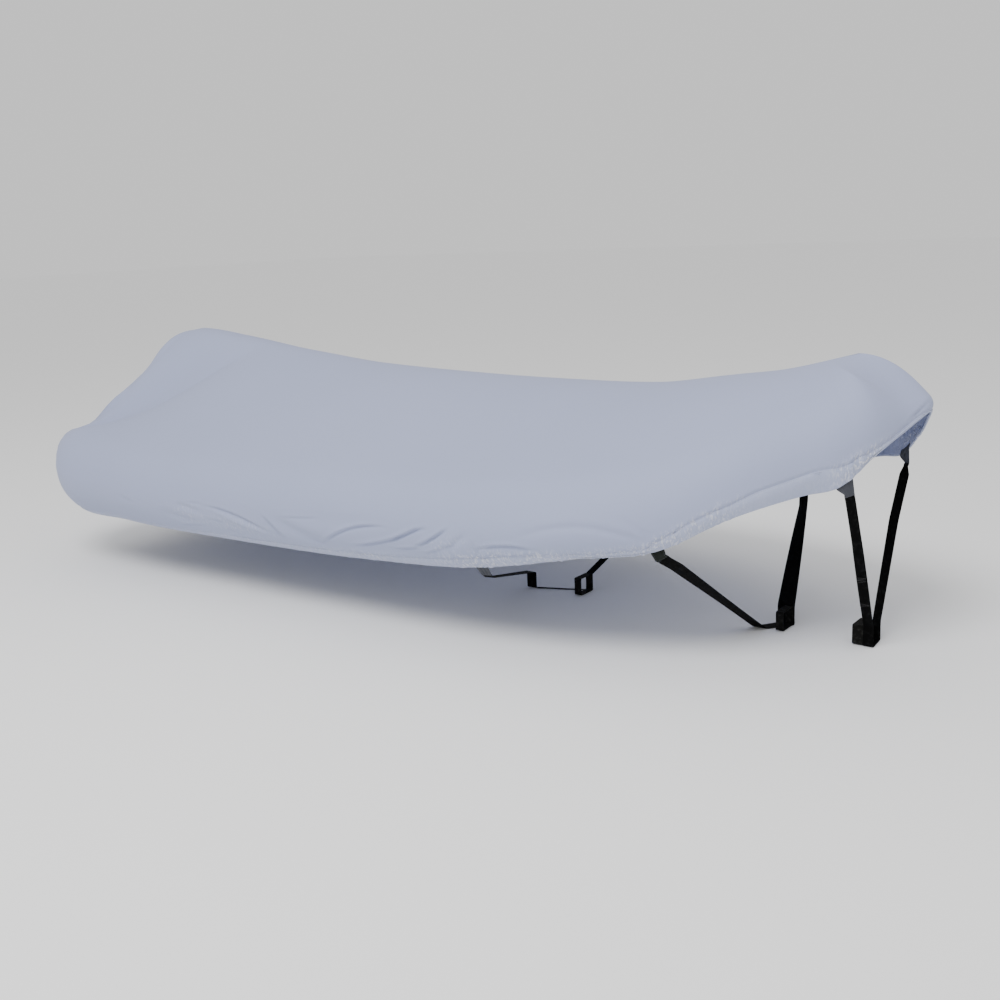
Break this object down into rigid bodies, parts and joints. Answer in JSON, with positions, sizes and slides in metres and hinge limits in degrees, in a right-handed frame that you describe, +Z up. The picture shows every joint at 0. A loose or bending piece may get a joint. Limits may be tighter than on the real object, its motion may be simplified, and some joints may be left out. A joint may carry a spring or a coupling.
{
  "type": "fitted inflatable boat cover",
  "caption": "Fitted cloth cover draped over a small inflatable boat, hollow and open below, with webbing straps running from hem tabs under a trailer beam.",
  "frame": {"origin": "middle of the cover's length and width, just under the cloth of its top ridge", "axes": "+X to the bow, +Y to the far side, +Z up"},
  "size_m": [4.1697, 1.7459, 1.1036],
  "materials": {
    "grey_cloth": "matt coated polyester",
    "dark_cloth": "matt dark cloth",
    "black_webbing": "woven polypropylene webbing"
  },
  "bodies": {
    "root": {"cover": "grey_cloth", "tab_bow_near": "dark_cloth", "tab_bow_far": "dark_cloth", "tab_middle_near": "dark_cloth", "tab_middle_far": "dark_cloth", "tab_stern_near": "dark_cloth", "tab_stern_far": "dark_cloth", "strap_bow": "black_webbing", "strap_middle": "black_webbing", "strap_stern": "black_webbing", "turn_bow": "black_webbing", "turn_middle": "black_webbing", "turn_stern": "black_webbing"}
  },
  "joints": []
}
